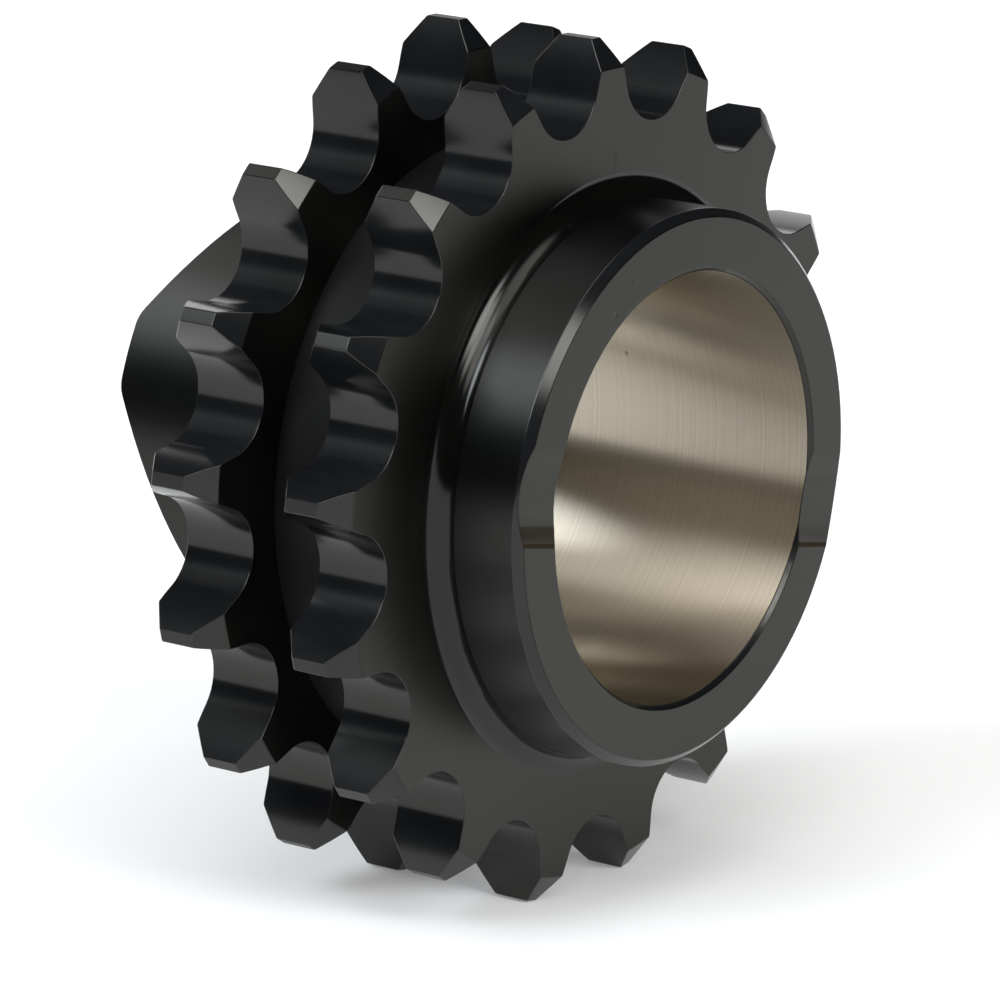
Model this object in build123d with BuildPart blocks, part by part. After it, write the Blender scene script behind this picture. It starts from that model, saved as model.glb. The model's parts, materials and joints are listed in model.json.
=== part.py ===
from build123d import *
from math import acos, cos, degrees, hypot, pi, radians, sin
import os

# Duplex roller chain sprocket with a face cam, cut from one piece of steel. Millimetres.
# The axis is Y and the plain front hub looks to -Y. The origin is on the axis, midway between
# the two rows of teeth. A tooth points straight up (+Z), so the wheel stands on two teeth.
# Angles about the axis are measured from +Z towards +X.

# Chain: half inch pitch, two strands
PITCH = 12.7
ROLLER_DIAMETER = 8.51
ROW_SPACING = 13.92

# Teeth
TEETH = 17
TIP_DIAMETER = 74.4
TOOTH_WIDTH = 7.0
SEAT_CLEARANCE = 0.045
SEAT_ANGLE = 132.0
FLANK_RADIUS = 19.3
TIP_BEVEL_DEPTH = 2.4
TIP_BEVEL_WIDTH = 1.8
GROOVE_DIAMETER = 54.7

# Hubs and bore
BORE_DIAMETER = 37.0
FRONT_HUB_DIAMETER = 47.6
FRONT_HUB_LENGTH = 8.64
REAR_HUB_DIAMETER = 52.0
REAR_HUB_LENGTH = 11.64
FRONT_FILLET = 2.0
REAR_FILLET = 1.0
BORE_EDGE = 0.35
HUB_EDGE = 0.7

# Face cam on the end of the rear hub
CAM_LOBES = 3
CAM_LIFT = 10.2
CAM_PEAK_ARC = 14.0
CAM_VALLEY_ARC = 20.0
CAM_PEAK_ANGLE = -67.5
CAM_EDGE_RADIUS = 3.0

# Shallow groove across the end face of the front hub; its middle runs a little below the axis
FACE_GROOVE_WIDTH = 8.2
FACE_GROOVE_DEPTH = 0.47
FACE_GROOVE_ANGLE = 100.7
FACE_GROOVE_OFFSET = 0.7

# How far a cut runs past the metal, and how near two sizes count as the same
CUT_OVERRUN = 2.0
SAME_SIZE = 0.001

# Sizes that follow
bore_radius = BORE_DIAMETER / 2
front_hub_radius = FRONT_HUB_DIAMETER / 2
rear_hub_radius = REAR_HUB_DIAMETER / 2
tip_radius = TIP_DIAMETER / 2
pitch_radius = PITCH / 2 / sin(pi / TEETH)
seat_radius = ROLLER_DIAMETER / 2 + SEAT_CLEARANCE
side_y = (ROW_SPACING + TOOTH_WIDTH) / 2
front_y = -side_y - FRONT_HUB_LENGTH
peak_y = side_y + REAR_HUB_LENGTH
valley_y = peak_y - CAM_LIFT
ramp_arc = 360 / CAM_LOBES / 2 - (CAM_PEAK_ARC + CAM_VALLEY_ARC) / 2


def radial(angle):
    """Unit vector that points away from the axis at an angle."""
    return Vector(sin(radians(angle)), 0, cos(radians(angle)))


def radial_plane(angle):
    """Plane that holds the axis: its x points away from the axis and its y along it."""
    return Plane(origin=(0, 0, 0), x_dir=radial(angle), z_dir=radial(angle - 90))


def band(inner, outer, low_y, high_y):
    """Rectangle of a turned section, from one radius to another."""
    with Locations((inner, low_y)):
        Rectangle(outer - inner, high_y - low_y, align=(Align.MIN, Align.MIN))


def row_section(mid_y):
    """Section of one row of teeth before the gaps are cut: a rim with both tip edges bevelled."""
    half = TOOTH_WIDTH / 2
    shoulder = tip_radius - TIP_BEVEL_DEPTH
    land = half - TIP_BEVEL_WIDTH
    Polygon(
        (bore_radius, mid_y - half),
        (shoulder, mid_y - half),
        (tip_radius, mid_y - land),
        (tip_radius, mid_y + land),
        (shoulder, mid_y + half),
        (bore_radius, mid_y + half),
        align=None,
    )


def rims(solid, radius, y):
    """Round edges of the turned blank at one radius and one place along the axis."""
    rounds = solid.edges().filter_by(GeomType.CIRCLE)
    return rounds.filter_by(
        lambda edge: abs(edge.radius - radius) < SAME_SIZE and abs(edge.arc_center.Y - y) < SAME_SIZE
    )


def flank_sweep():
    """Turn of the flank from its start on the seat until it has passed the tips of the teeth."""
    half_seat = radians(SEAT_ANGLE / 2)
    reach = seat_radius + FLANK_RADIUS
    away = hypot(reach * sin(half_seat), pitch_radius - reach * cos(half_seat))
    start = hypot(seat_radius * sin(half_seat), pitch_radius - seat_radius * cos(half_seat))

    def turned(radius):
        """Angle at the centre of the flank between the wheel axis and a point at this radius."""
        return acos((away ** 2 + FLANK_RADIUS ** 2 - radius ** 2) / (2 * away * FLANK_RADIUS))

    return degrees(turned(tip_radius + CUT_OVERRUN) - turned(start))


def tooth_gap():
    """Outline of one gap: a round seat for the roller, then a convex flank up past the tips."""
    with BuildSketch() as gap:
        with BuildLine():
            seat = CenterArc((0, pitch_radius), seat_radius, -90, SEAT_ANGLE / 2)
            flank = JernArc(seat @ 1, seat % 1, FLANK_RADIUS, -flank_sweep())
            mirror(about=Plane.YZ)
            Line(flank @ 1, (-(flank @ 1).X, (flank @ 1).Y))
        make_face()
    return gap.sketch


def cam_valley():
    """Space between two lobes: a flat floor and two ramps of constant slope, ruled to the axis."""
    floor_end = CAM_VALLEY_ARC / 2
    ramp_end = floor_end + ramp_arc
    over_y = peak_y + CUT_OVERRUN
    inner = bore_radius - 3 * CUT_OVERRUN
    outer = rear_hub_radius + 2 * CUT_OVERRUN
    stations = ((-ramp_end, peak_y), (-floor_end, valley_y), (floor_end, valley_y), (ramp_end, peak_y))
    with BuildPart() as valley:
        for angle, low_y in stations:
            with BuildSketch(radial_plane(angle)):
                band(inner, outer, low_y, over_y)
        loft(ruled=True)
    return valley.part


def face_groove_radius():
    """Radius of the round-bottomed groove, from its width and depth."""
    return (FACE_GROOVE_WIDTH ** 2 / 4 + FACE_GROOVE_DEPTH ** 2) / (2 * FACE_GROOVE_DEPTH)


def peak_edges(solid):
    """Straight radial edges where the ramps of the cam meet the flat tops of the lobes."""
    return solid.edges().filter_by(
        lambda edge: abs((edge @ 0).Y - peak_y) < SAME_SIZE
        and abs((edge @ 1).Y - peak_y) < SAME_SIZE
        and abs(edge.length - (rear_hub_radius - bore_radius)) < SAME_SIZE
    )


gap_outline = tooth_gap()
valley_space = cam_valley()

with BuildPart() as sprocket:
    # The turned blank
    with BuildSketch(Plane.XY):
        band(bore_radius, front_hub_radius, front_y, 0)
        band(bore_radius, GROOVE_DIAMETER / 2, -side_y, side_y)
        band(bore_radius, rear_hub_radius, 0, peak_y)
        row_section(-ROW_SPACING / 2)
        row_section(ROW_SPACING / 2)
    revolve(axis=Axis.Y)
    fillet(rims(sprocket, front_hub_radius, -side_y), FRONT_FILLET)
    fillet(rims(sprocket, rear_hub_radius, side_y), REAR_FILLET)
    chamfer(rims(sprocket, front_hub_radius, front_y), HUB_EDGE)
    chamfer(rims(sprocket, bore_radius, front_y), BORE_EDGE)

    # The tooth gaps, through both rows at once; one gap points straight down
    with BuildSketch(Plane.XZ.offset(-side_y - CUT_OVERRUN)):
        with PolarLocations(0, TEETH, start_angle=180):
            add(gap_outline)
    extrude(amount=2 * (side_y + CUT_OVERRUN), mode=Mode.SUBTRACT)

    # The face cam: its valleys are cut out of the rear hub
    for lobe in range(CAM_LOBES):
        with Locations(Rotation(0, CAM_PEAK_ANGLE + (lobe + 0.5) * 360 / CAM_LOBES, 0)):
            add(valley_space, mode=Mode.SUBTRACT)
    fillet(peak_edges(sprocket), CAM_EDGE_RADIUS)

    # The shallow groove straight across the front face
    with BuildSketch(Plane(origin=(0, front_y, 0), x_dir=(0, -1, 0), z_dir=radial(FACE_GROOVE_ANGLE))):
        with Locations((face_groove_radius() - FACE_GROOVE_DEPTH, FACE_GROOVE_OFFSET)):
            Circle(face_groove_radius())
    extrude(amount=front_hub_radius + CUT_OVERRUN, both=True, mode=Mode.SUBTRACT)

sprocket.part.label = "sprocket"

os.makedirs("parts", exist_ok=True)
export_step(sprocket.part, "parts/sprocket.step")
print(sprocket.part.volume, sprocket.part.bounding_box())
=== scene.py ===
import json
import math
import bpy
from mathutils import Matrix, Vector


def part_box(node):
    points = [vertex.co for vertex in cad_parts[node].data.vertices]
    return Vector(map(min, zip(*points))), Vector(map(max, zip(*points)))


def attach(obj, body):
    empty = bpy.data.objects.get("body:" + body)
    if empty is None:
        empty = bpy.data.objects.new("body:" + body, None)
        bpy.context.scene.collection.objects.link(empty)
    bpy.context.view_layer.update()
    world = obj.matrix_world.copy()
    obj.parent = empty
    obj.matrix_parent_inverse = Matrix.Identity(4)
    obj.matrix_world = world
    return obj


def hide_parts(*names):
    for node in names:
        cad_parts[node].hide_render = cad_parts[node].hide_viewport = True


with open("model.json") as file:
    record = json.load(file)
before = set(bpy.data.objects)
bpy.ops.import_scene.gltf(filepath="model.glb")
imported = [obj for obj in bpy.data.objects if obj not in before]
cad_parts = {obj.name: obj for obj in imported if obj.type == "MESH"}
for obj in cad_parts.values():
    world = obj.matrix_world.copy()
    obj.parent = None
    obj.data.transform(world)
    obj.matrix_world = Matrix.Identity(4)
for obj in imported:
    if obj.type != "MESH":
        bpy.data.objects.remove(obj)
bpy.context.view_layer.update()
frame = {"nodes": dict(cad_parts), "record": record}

from types import SimpleNamespace

import bmesh
import bpy
from mathutils import Matrix, Vector

MM = 0.001

# Camera, set to the photograph's view. Angles in degrees, lengths in metres.
VIEW_AZIMUTH = -53.576
VIEW_ELEVATION = 13.827
VIEW_ROLL = 1.042
VIEW_DISTANCE = 0.5823
AIM_RIGHT = -0.000445
AIM_UP = -0.003869
FOCAL_LENGTH_MM = 244.8
SENSOR_MM = 36.0
CLIP_NEAR = 0.01
CLIP_FAR = 20

# Studio: the floor, the part of it that looks white of itself, and the dim room around it
FLOOR_SIZE = 6.0
FLOOR_COLOUR = (0.97, 0.97, 0.965, 1.0)
FLOOR_WHITE = 0.2
ROOM_LIGHT = (0.01, 0.01, 0.01)

# Soft boxes: the turn and height of each one's middle, how far out from there it is full and where
# it has faded, all in degrees, and its light
SOFT_BOXES = (
    (126, 30, 6, 14, (8.0, 8.0, 8.0)),
    (148, 41, 8, 17, (6.5, 6.5, 6.5)),
    (186, 50, 8, 19, (3.4, 3.4, 3.4)),
    (234, 42, 7, 18, (9.0, 9.8, 10.6)),
    (304, 26, 6, 16, (3.9, 3.8, 3.7)),
    (327, 18, 8, 20, (2.6, 2.5, 2.4)),
    (4, 18, 8, 24, (1.2, 1.2, 1.2)),
    (180, 80, 12, 30, (1.9, 1.9, 1.9)),
    (278, 38, 8, 24, (0.2, 0.2, 0.2)),
)

# The wheel's sizes that come from the frame, in metres
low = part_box("sprocket")[0]
mounts = {mount["name"]: mount for mount in frame["record"]["mounts"]}
bore_radius = mounts["bore"]["dims"]["r_mm"] * MM
front_y = low.y
floor_z = low.z

# Tooth form and hubs, as in the part's source. A fillet is the radius of the ring it is rolled
# round, that ring's place along the axis, and its own radius.
TEETH = 17
SEAT_RADIUS = 4.3 * MM
SEAT_HALF_ANGLE = math.radians(66)
FLANK_RADIUS = 19.3 * MM
PITCH_RADIUS = 12.7 / 2 / math.sin(math.pi / TEETH) * MM
ROOT_RADIUS = PITCH_RADIUS - SEAT_RADIUS
TIP_RADIUS = 37.2 * MM
HALF_GROOVE = 3.6 * MM
FILLET_END = 12.6 * MM
FRONT_FILLET = (25.8 * MM, -12.46 * MM, 2.0 * MM)
REAR_FILLET = (27.0 * MM, 11.46 * MM, 1.0 * MM)

# Edge breaks left by the tumbler, on edges sharper than an angle
EDGE_BREAK = 0.1 * MM
EDGE_ANGLE = math.radians(24)

# How close corners are welded, and how little facets may turn to be joined into one
WELD = 0.001 * MM
SAME_PLANE = math.radians(0.05)

# How far the middle of a facet may lie from the surface it belongs to
NEAR = 0.3 * MM
BORE_SLACK = 0.2 * MM
FILLET_SLACK = 0.05 * MM

# Limits on the parts of a facet's direction that tell what it belongs to: straight inwards or
# outwards, a side face, a bevel, level with the axis, square to it, or turned about it
INWARDS = 0.95
OUTWARDS = 0.99
SIDE_FACE = 0.9
BEVEL = 0.1
LEVEL = 0.02
SQUARE = 0.9995
TURNED = 0.995

# Painted shade in the face groove, tinted brown as dirt: the groove's direction, how far below the
# axis its lower edge runs, and how far from there the dark line, a painted shadow under the groove's
# step, is full and gone. A smear of painted shade lies above it on the groove's wall: its middle,
# where it is full and gone, the x over which it thins, and how dense it is at least and more at one
# end. Both stay within a depth of the front face.
GROOVE_ANGLE = math.radians(100.7)
GROOVE_EDGE = 4.75 * MM
LINE_FADE = (0.1 * MM, 0.3 * MM)
SHADE_SMEAR_RISE = 0.9 * MM
SHADE_SMEAR_FADE = (0.5 * MM, 1.0 * MM)
SHADE_SMEAR_ENDS = (-6 * MM, 6 * MM)
SHADE_SMEAR_LEAST = 0.25
SHADE_SMEAR_MORE = 0.25
GROOVE_SHADE_DEPTH = (0.8 * MM, 1.2 * MM)
GROOVE_SHADE_AND_DIRT_COLOUR = (0.018, 0.012, 0.0045, 1.0)

# A scratch on the front side face and a pit in the bore, and where such a mark is full and gone, in
# parts of its half sizes
SCRATCH_CENTRE = (0.6 * MM, -10.46 * MM, 26.9 * MM)
SCRATCH_HALF_SIZES = (0.25 * MM, 0.5 * MM, 0.9 * MM)
PIT_CENTRE = (17.5 * MM, -0.08 * MM, 5.99 * MM)
PIT_HALF_SIZES = (0.22 * MM, 0.22 * MM, 0.22 * MM)
PIT_COLOUR = (0.28, 0.24, 0.18, 1.0)
MARK_FADE = (0.6, 1.3)

# How much of the black skin's gloss is left where nothing dulls it, and what the painted groove shade
# and a scratch take
GLOSS = 0.5
GROOVE_SHADE_DULLS = 0.25
SCRATCH_DULLS = 0.12

# The skin's cloudy shade, and the tool marks and stray nicks in it
CLOUDS = {"Scale": 120, "Detail": 5}
CLOUDY_ROUGHNESS = 0.02
MARK_DETAIL = 3
MARK_DEPTH = 0.02 * MM
NICK_CELLS = 100
NICK_FADE = (0.015, 0.035)
NICK_STRENGTH = 0.5
NICK_DEPTH = 0.05 * MM

# Anisotropic rotation, in turns, that blurs reflections across the turning marks
ACROSS_MARKS = 0.25

# The span of a noise's values over which a colour changes
NOISE_SPAN = (0.3, 0.7)

# Black finishes by zone. Marks are given by how many there are in a metre and how strong they are,
# and whether they follow each other outwards too, as on a faced side, or along the axis alone.
FINISHES = {
    # The side faces of the rows and the end face of the hub, which carries the painted shade in its
    # groove
    "turned": {
        "dark": (0.0015, 0.0015, 0.0014), "light": (0.003, 0.003, 0.0028),
        "roughness": 0.25, "anisotropic": 0.8, "ior": 1.4, "tint": (1.0, 0.985, 0.82, 1.0),
        "marks": 5000, "strength": 0.05, "outwards": True, "shaded_groove": True,
    },
    # The outsides of both hubs and the tops of the teeth, which the lathe left a little coarser
    "hub": {
        "dark": (0.0015, 0.0016, 0.0019), "light": (0.003, 0.0032, 0.0036),
        "roughness": 0.36, "anisotropic": 0.9, "ior": 1.44, "tint": (1.0, 0.985, 0.9, 1.0),
        "marks": 5000, "strength": 0.06, "outwards": True, "shaded_groove": False,
    },
    # The round fillets at the roots of the hubs, smooth from a form tool
    "fillet": {
        "dark": (0.002, 0.002, 0.0018), "light": (0.0035, 0.0035, 0.003),
        "roughness": 0.13, "anisotropic": 0.3, "ior": 1.41, "tint": (1.0, 0.99, 0.96, 1.0),
        "marks": 5000, "strength": 0.05, "outwards": True, "shaded_groove": False,
    },
    # The floor of the narrow groove between the rows, dull from the parting tool, and darker and less
    # glossy than the turned faces as painted shade deep in the groove
    "groove": {
        "dark": (0.0012, 0.0012, 0.0014), "light": (0.0022, 0.0022, 0.0026),
        "roughness": 0.6, "anisotropic": 0.3, "ior": 1.3, "tint": (1.0, 0.985, 0.9, 1.0),
        "marks": 2500, "strength": 0.1, "outwards": True, "shaded_groove": False,
    },
    # The tooth gaps and bevels, smoother than the turned faces, with the hob's faint feed marks
    "cut": {
        "dark": (0.0045, 0.005, 0.0058), "light": (0.0075, 0.0082, 0.0094),
        "roughness": 0.18, "anisotropic": 0.3, "ior": 1.45, "tint": (1.0, 0.985, 0.9, 1.0),
        "marks": 1500, "strength": 0.12, "outwards": False, "shaded_groove": False,
    },
}

# Bare steel of the bore: its streaks, their depth, the two shades they go between, and its gloss
BORE_STREAKS = 4000
BORE_STREAK_DETAIL = 4
BORE_STREAK_STRENGTH = 0.05
BORE_STREAK_DEPTH = 0.01 * MM
BORE_DARK = (0.47, 0.42, 0.34)
BORE_LIGHT = (0.54, 0.49, 0.40)
BORE_ROUGHNESS = 0.3

# Sockets that share their names with others of their node
MIX_FIRST, MIX_SECOND, MIX_RESULT = 6, 7, 2
VECTOR_FROM_MIN, VECTOR_FROM_MAX, VECTOR_TO_MAX = 7, 8, 10


def radial_distance(point):
    """Distance of a point from the wheel's axis."""
    return math.hypot(point.x, point.z)


def away_from_axis(point):
    """Unit vector from the wheel's axis straight out towards a point."""
    return Vector((point.x, 0, point.z)).normalized()


def hub_fillet(point):
    """The root fillet of the hub on a point's side of the wheel."""
    return FRONT_FILLET if point.y < 0 else REAR_FILLET


def in_fillet(point):
    """Whether a point lies within the section of a hub's root fillet."""
    ring_radius, ring_y, size = hub_fillet(point)
    out = radial_distance(point) - ring_radius + size
    along = abs(point.y) - abs(ring_y)
    return -FILLET_SLACK < out < size and -size < along < 0


def fillet_normal(point):
    """Outward direction of the true root fillet of a hub, at a point on it."""
    ring_radius, ring_y, size = hub_fillet(point)
    out = away_from_axis(point) * (ring_radius - radial_distance(point))
    return (out + Vector((0, ring_y - point.y, 0))).normalized()


def tooth_normal(point):
    """Outward direction of the true tooth form at a point on a seat or a flank."""
    step = 2 * math.pi / TEETH
    turn = math.atan2(point.x, point.z) - math.pi
    middle = math.pi + round(turn / step) * step
    along = Vector((math.sin(middle), 0, math.cos(middle)))
    across = Vector((math.cos(middle), 0, -math.sin(middle)))
    u, v = point.dot(across), point.dot(along)
    if v < PITCH_RADIUS - SEAT_RADIUS * math.cos(SEAT_HALF_ANGLE):
        return (across * -u + along * (PITCH_RADIUS - v)).normalized()
    reach = SEAT_RADIUS + FLANK_RADIUS
    side = math.copysign(1, u)
    from_u = u - side * reach * math.sin(SEAT_HALF_ANGLE)
    from_v = v - PITCH_RADIUS + reach * math.cos(SEAT_HALF_ANGLE)
    return (across * from_u + along * from_v).normalized()


def true_normal(face, point):
    """Direction of the true surface at a corner of a facet, or None where the facet is a flat one."""
    if abs(face.normal.y) > SQUARE:
        return face.normal.copy()
    centre = face.calc_center_median()
    if in_fillet(centre):
        return fillet_normal(point)
    outward = face.normal.dot(away_from_axis(centre))
    level = abs(face.normal.y) < LEVEL
    in_seat = ROOT_RADIUS - NEAR < radial_distance(centre) < PITCH_RADIUS
    if level and (abs(outward) < TURNED or in_seat):
        return tooth_normal(point)
    if math.hypot(outward, face.normal.y) > TURNED:
        return (away_from_axis(point) * outward + Vector((0, face.normal.y, 0))).normalized()
    return None


def corner_normal(face, corner, broken):
    """Direction of the true surface at a corner of a face. An edge break blends its neighbours'."""
    whole = [other for other in corner.link_faces if other not in broken]
    owners = whole if face in broken else [face]
    found = [normal for normal in (true_normal(owner, corner.co) for owner in owners) if normal]
    around = [other.normal * other.calc_area() for other in whole
              if other.normal.dot(face.normal) > math.cos(EDGE_ANGLE)]
    return sum(found or around or [face.normal], Vector()).normalized()


def zone_of(face):
    """Which finish a face of the wheel has, from where it lies and which way it looks."""
    centre = face.calc_center_median()
    distance = radial_distance(centre)
    outward = face.normal.dot(away_from_axis(centre))
    sideways = abs(face.normal.y)
    if outward < -INWARDS and distance < bore_radius + BORE_SLACK:
        return "bore"
    if in_fillet(centre):
        return "fillet"
    if outward > OUTWARDS and distance > TIP_RADIUS - NEAR:
        return "hub"
    if outward > OUTWARDS and abs(centre.y) < HALF_GROOVE and distance < ROOT_RADIUS - NEAR:
        return "groove"
    if distance > ROOT_RADIUS - NEAR and sideways < SIDE_FACE:
        return "cut"
    if sideways > SIDE_FACE:
        return "turned"
    return "cut" if sideways > BEVEL else "hub"


def finish_faces(faces, zones):
    """Gives each face the material of its zone."""
    for face in faces:
        face.material_index = zones.index(zone_of(face))


def is_sharp(edge):
    """Whether an edge is a real corner and not a step between the facets of a hub's root fillet."""
    middle = (edge.verts[0].co + edge.verts[1].co) / 2
    by_fillet = radial_distance(middle) < ROOT_RADIUS and abs(middle.y) < FILLET_END
    return edge.calc_face_angle() > EDGE_ANGLE and not by_fillet


def add_object(name, data):
    """A new object in the scene."""
    made = bpy.data.objects.new(name, data)
    bpy.context.scene.collection.objects.link(made)
    return made


def wheel_piece(materials):
    """The wheel as a finer piece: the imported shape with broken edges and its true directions."""
    mesh = frame["nodes"]["sprocket"].data.copy()
    mesh.name = "wheel"
    mesh.materials.clear()
    for material in materials.values():
        mesh.materials.append(material)
    zones = list(materials)
    work = bmesh.new()
    work.from_mesh(mesh)
    bmesh.ops.remove_doubles(work, verts=work.verts, dist=WELD)
    bmesh.ops.dissolve_limit(work, angle_limit=SAME_PLANE, verts=work.verts, edges=work.edges)
    finish_faces(work.faces, zones)
    sharp = [edge for edge in work.edges if edge.is_manifold and is_sharp(edge)]
    broken = set(bmesh.ops.bevel(
        work, geom=sharp, offset=EDGE_BREAK, offset_type="OFFSET", segments=1, affect="EDGES",
        clamp_overlap=True, material=-1,
    )["faces"])
    finish_faces(broken, zones)
    normals = []
    for face in work.faces:
        face.smooth = True
        normals += [corner_normal(face, loop.vert, broken) for loop in face.loops]
    work.to_mesh(mesh)
    work.free()
    mesh.normals_split_custom_set(normals)
    piece = add_object("wheel", mesh)
    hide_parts("sprocket")
    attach(piece, "root")


class Graph:
    """Short names for adding shader nodes and links to one node tree."""

    def __init__(self, tree):
        self.tree = tree
        tree.nodes.clear()

    def put(self, value, socket):
        """Feeds a socket from an output, or sets it to a constant."""
        if isinstance(value, bpy.types.NodeSocket):
            self.tree.links.new(value, socket)
        else:
            socket.default_value = value

    def node(self, kind, inputs, **settings):
        """A node with its settings made and its inputs fed, by their names or places."""
        made = self.tree.nodes.new(kind)
        for name, value in settings.items():
            setattr(made, name, value)
        for name, value in inputs.items():
            self.put(value, made.inputs[name])
        return made

    def math(self, operation, first, second=0.0):
        return self.node("ShaderNodeMath", {0: first, 1: second}, operation=operation).outputs[0]

    def vector(self, operation, first, second):
        return self.node("ShaderNodeVectorMath", {0: first, 1: second}, operation=operation)

    def fade(self, value, full, gone):
        """1 up to one value, falling smoothly to 0 at another."""
        limits = {"From Min": full, "From Max": gone, "To Min": 1.0, "To Max": 0.0}
        made = self.node(
            "ShaderNodeMapRange", {"Value": value, **limits}, interpolation_type="SMOOTHSTEP")
        return made.outputs["Result"]

    def mix(self, factor, first, second):
        inputs = {"Factor": factor, MIX_FIRST: first, MIX_SECOND: second}
        return self.node("ShaderNodeMix", inputs, data_type="RGBA").outputs[MIX_RESULT]

    def shades(self, noise, dark, light):
        """Colour between two shades, as a noise goes up."""
        made = self.node("ShaderNodeValToRGB", {0: noise})
        for element, place, colour in zip(made.color_ramp.elements, NOISE_SPAN, (dark, light)):
            element.position, element.color = place, (*colour, 1)
        return made.outputs[0]

    def streaks(self, way, per_metre, detail):
        """Noise that changes along one way only."""
        inputs = {"Scale": per_metre, "Detail": detail, "W": way}
        return self.node("ShaderNodeTexNoise", inputs, noise_dimensions="1D").outputs["Fac"]

    def bump(self, height, strength, distance):
        inputs = {"Height": height, "Strength": strength, "Distance": distance}
        return self.node("ShaderNodeBump", inputs)

    def end(self, kind, output):
        """The tree's own output, fed from its last shader."""
        self.node(kind, {0: output})


def new_material(name):
    material = bpy.data.materials.new(name)
    material.use_nodes = True
    return material, Graph(material.node_tree)


def axis_coordinates(graph):
    """Position on the wheel, its x, y and z, its distance from the axis, and the way round it."""
    position = graph.node("ShaderNodeTexCoord", {}).outputs["Object"]
    x, y, z = graph.node("ShaderNodeSeparateXYZ", {0: position}).outputs
    squares = graph.math("ADD", graph.math("MULTIPLY", x, x), graph.math("MULTIPLY", z, z))
    around = graph.node("ShaderNodeCombineXYZ", {0: z, 2: graph.math("MULTIPLY", x, -1.0)})
    return SimpleNamespace(
        position=position, x=x, y=y, z=z, distance=graph.math("SQRT", squares),
        around=around.outputs[0])


def mark(graph, position, centre, half_sizes):
    """1 within a small oval around a point, falling to 0 a little outside it."""
    offset = graph.vector("SUBTRACT", position, centre).outputs[0]
    scaled = graph.vector("DIVIDE", offset, half_sizes).outputs[0]
    reach = graph.node("ShaderNodeVectorMath", {0: scaled}, operation="LENGTH")
    return graph.fade(reach.outputs["Value"], *MARK_FADE)


def band(graph, value, middle, full, gone):
    """1 close to a middle value, falling to 0 on both sides of it."""
    away = graph.math("ABSOLUTE", graph.math("SUBTRACT", value, middle))
    return graph.fade(away, full, gone)


def groove_shade_and_dirt(graph, place):
    """Where painted shade, tinted brown as dirt, lies along the lower edge of the face groove and on
    its wall, from 0 to 1.
    """
    down = graph.math("ADD", graph.math("MULTIPLY", place.x, math.cos(GROOVE_ANGLE)),
                      graph.math("MULTIPLY", place.z, -math.sin(GROOVE_ANGLE)))
    line = band(graph, down, GROOVE_EDGE, *LINE_FADE)
    shade_smear = band(graph, down, GROOVE_EDGE - SHADE_SMEAR_RISE, *SHADE_SMEAR_FADE)
    more = graph.math("MULTIPLY", graph.fade(place.x, *SHADE_SMEAR_ENDS), SHADE_SMEAR_MORE)
    shade_smear = graph.math("MULTIPLY", shade_smear, graph.math("ADD", more, SHADE_SMEAR_LEAST))
    shade_and_dirt = graph.math("MAXIMUM", line, shade_smear)
    full, gone = GROOVE_SHADE_DEPTH
    return graph.math("MULTIPLY", shade_and_dirt, graph.fade(place.y, front_y + full, front_y + gone))


def blackened_steel(
        name, dark, light, roughness, anisotropic, ior, tint, marks, strength, outwards, shaded_groove):
    """Oil-blackened steel: a thin dark skin over the marks of a tool that turned about the axis."""
    material, graph = new_material(name)
    place = axis_coordinates(graph)
    cloud = graph.node("ShaderNodeTexNoise", {"Vector": place.position, **CLOUDS}).outputs["Fac"]
    colour = graph.shades(cloud, dark, light)
    rough = graph.node("ShaderNodeMapRange", {
        "Value": cloud, "To Min": roughness - CLOUDY_ROUGHNESS, "To Max": roughness + CLOUDY_ROUGHNESS,
    }).outputs["Result"]

    way = graph.math("ADD", place.distance, place.y) if outwards else place.y
    bump = graph.bump(graph.streaks(way, marks, MARK_DETAIL), strength, MARK_DEPTH)
    cells = graph.node("ShaderNodeTexVoronoi", {"Vector": place.position, "Scale": NICK_CELLS})
    around_nicks = graph.math("SUBTRACT", 1.0, graph.fade(cells.outputs["Distance"], *NICK_FADE))
    nicks = graph.bump(around_nicks, NICK_STRENGTH, NICK_DEPTH)
    graph.put(nicks.outputs[0], bump.inputs["Normal"])

    gloss = GLOSS
    # Painted shade in the face groove, tinted brown as dirt, darkens the colour and dulls the gloss; a
    # scratch dulls it too
    if shaded_groove:
        shade_and_dirt = groove_shade_and_dirt(graph, place)
        scratch = mark(graph, place.position, SCRATCH_CENTRE, SCRATCH_HALF_SIZES)
        colour = graph.mix(shade_and_dirt, colour, GROOVE_SHADE_AND_DIRT_COLOUR)
        rough = graph.math("MAXIMUM", rough, shade_and_dirt)
        dull = graph.math("ADD", graph.math("MULTIPLY", shade_and_dirt, GROOVE_SHADE_DULLS),
                          graph.math("MULTIPLY", scratch, SCRATCH_DULLS))
        gloss = graph.math("SUBTRACT", GLOSS, dull)
    shader = graph.node("ShaderNodeBsdfPrincipled", {
        "Base Color": colour, "Roughness": rough, "IOR": ior, "Normal": bump.outputs[0],
        "Specular IOR Level": gloss, "Specular Tint": tint, "Anisotropic": anisotropic,
        "Anisotropic Rotation": ACROSS_MARKS, "Tangent": place.around,
    })
    graph.end("ShaderNodeOutputMaterial", shader.outputs[0])
    return material


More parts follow.
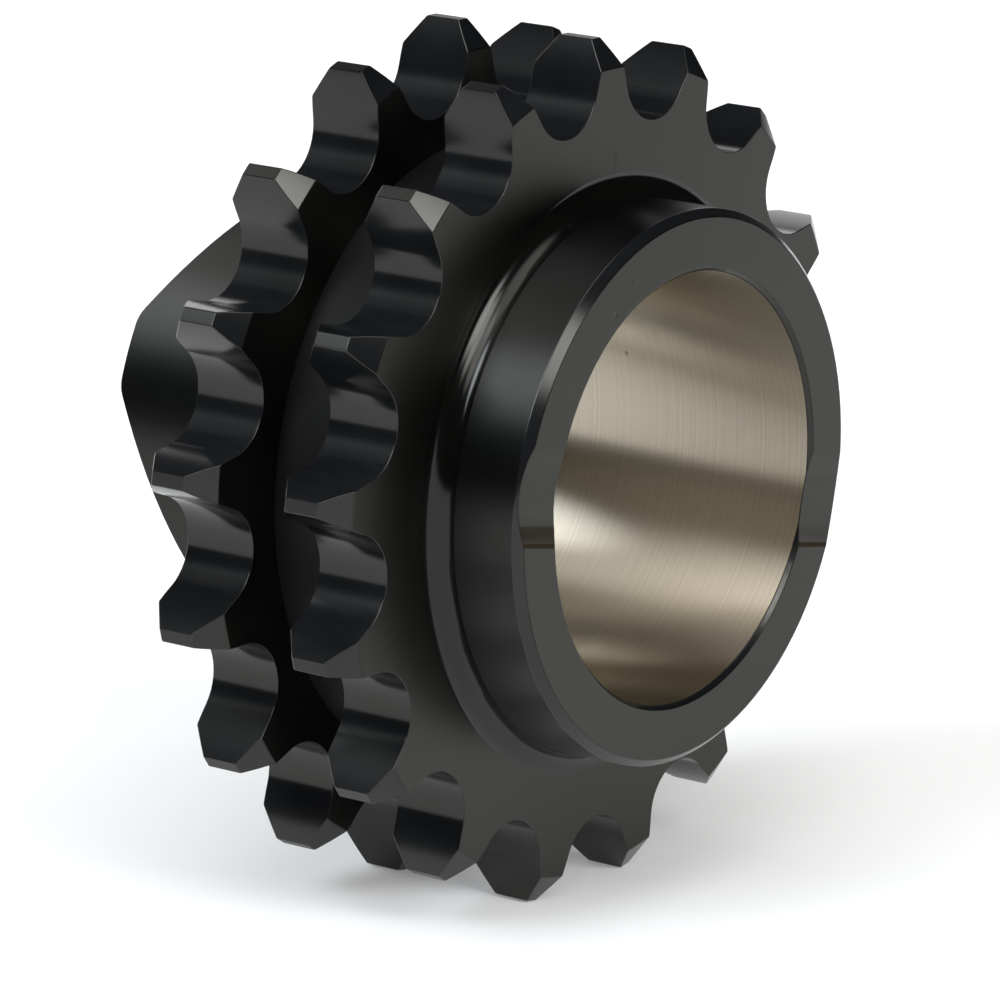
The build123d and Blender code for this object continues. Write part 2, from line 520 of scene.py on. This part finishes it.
def ground_bore():
    """Bare steel of the bore, honed round and round, with a warm tarnish."""
    material, graph = new_material("ground_bore")
    place = axis_coordinates(graph)
    streaks = graph.streaks(place.y, BORE_STREAKS, BORE_STREAK_DETAIL)
    pit = mark(graph, place.position, PIT_CENTRE, PIT_HALF_SIZES)
    bump = graph.bump(streaks, BORE_STREAK_STRENGTH, BORE_STREAK_DEPTH)
    shader = graph.node("ShaderNodeBsdfPrincipled", {
        "Base Color": graph.mix(pit, graph.shades(streaks, BORE_DARK, BORE_LIGHT), PIT_COLOUR),
        "Metallic": 1.0, "Roughness": BORE_ROUGHNESS, "Normal": bump.outputs[0],
        "Anisotropic": 1.0, "Anisotropic Rotation": ACROSS_MARKS, "Tangent": place.around,
    })
    graph.end("ShaderNodeOutputMaterial", shader.outputs[0])
    return material


def wheel_materials():
    """The material of each zone of the wheel."""
    materials = {
        zone: blackened_steel("blackened_" + zone, **finish) for zone, finish in FINISHES.items()}
    return {**materials, "bore": ground_bore()}


def studio_floor():
    """A wide pale floor under the wheel."""
    half = FLOOR_SIZE / 2
    mesh = bpy.data.meshes.new("floor")
    corners = [(x * half, y * half, floor_z) for x, y in ((-1, -1), (1, -1), (1, 1), (-1, 1))]
    mesh.from_pydata(corners, [], [(0, 1, 2, 3)])
    piece = add_object("floor", mesh)
    material, graph = new_material("pale_floor")
    paint = graph.node("ShaderNodeBsdfDiffuse", {"Color": FLOOR_COLOUR})
    glow = graph.node("ShaderNodeEmission", {})
    path = graph.node("ShaderNodeLightPath", {})
    seen = path.outputs["Is Camera Ray"]
    for ray in ("Is Glossy Ray", "Is Transmission Ray"):
        seen = graph.math("MAXIMUM", seen, path.outputs[ray])
    white = graph.math("MULTIPLY", seen, FLOOR_WHITE)
    mix = graph.node("ShaderNodeMixShader", {0: white, 1: paint.outputs[0], 2: glow.outputs[0]})
    graph.end("ShaderNodeOutputMaterial", mix.outputs[0])
    mesh.materials.append(material)


def camera_directions():
    """Unit vectors from the camera forwards, to its right and up, with its roll."""
    azimuth, elevation, roll = map(math.radians, (VIEW_AZIMUTH, VIEW_ELEVATION, VIEW_ROLL))
    back = Vector((
        math.sin(azimuth) * math.cos(elevation),
        -math.cos(azimuth) * math.cos(elevation),
        math.sin(elevation),
    ))
    forward = -back
    level_right = forward.cross(Vector((0, 0, 1))).normalized()
    level_up = level_right.cross(forward)
    right = math.cos(roll) * level_right + math.sin(roll) * level_up
    up = -math.sin(roll) * level_right + math.cos(roll) * level_up
    return forward, right, up


def studio_camera():
    """The photograph's camera."""
    forward, right, up = camera_directions()
    aim = AIM_RIGHT * right + AIM_UP * up
    data = bpy.data.cameras.new("camera")
    data.lens = FOCAL_LENGTH_MM
    data.sensor_width = SENSOR_MM
    data.sensor_fit = "HORIZONTAL"
    data.clip_start = CLIP_NEAR
    data.clip_end = CLIP_FAR
    camera = add_object("camera", data)
    turn = Matrix((right, up, -forward)).transposed()
    camera.matrix_world = Matrix.Translation(aim - forward * VIEW_DISTANCE) @ turn.to_4x4()
    bpy.context.scene.camera = camera


def box_direction(turn, height):
    """Direction of a soft box: turned to the camera's right from straight behind the wheel, raised."""
    forward, right = camera_directions()[:2]
    behind = Vector((forward.x, forward.y, 0)).normalized()
    sideways = Vector((right.x, right.y, 0)).normalized()
    turn, height = math.radians(turn), math.radians(height)
    level = math.cos(turn) * behind + math.sin(turn) * sideways
    return math.cos(height) * level + math.sin(height) * Vector((0, 0, 1))


def studio_world():
    """A dim room with soft boxes that fade out at their rims."""
    world = bpy.data.worlds.new("studio")
    bpy.context.scene.world = world
    world.use_nodes = True
    graph = Graph(world.node_tree)
    direction = graph.node("ShaderNodeTexCoord", {}).outputs["Generated"]
    light = ROOM_LIGHT
    for turn, height, full, gone, colour in SOFT_BOXES:
        dot = graph.vector("DOT_PRODUCT", direction, box_direction(turn, height))
        glow = graph.node("ShaderNodeMapRange", {
            "Vector": dot.outputs["Value"],
            VECTOR_FROM_MIN: (math.cos(math.radians(gone)),) * 3,
            VECTOR_FROM_MAX: (math.cos(math.radians(full)),) * 3,
            VECTOR_TO_MAX: colour,
        }, interpolation_type="SMOOTHSTEP", data_type="FLOAT_VECTOR")
        light = graph.vector("ADD", light, glow.outputs["Vector"]).outputs[0]
    background = graph.node("ShaderNodeBackground", {0: light})
    graph.end("ShaderNodeOutputWorld", background.outputs[0])


wheel_piece(wheel_materials())
studio_floor()
studio_camera()
studio_world()
bpy.context.scene.view_settings.view_transform = "Standard"
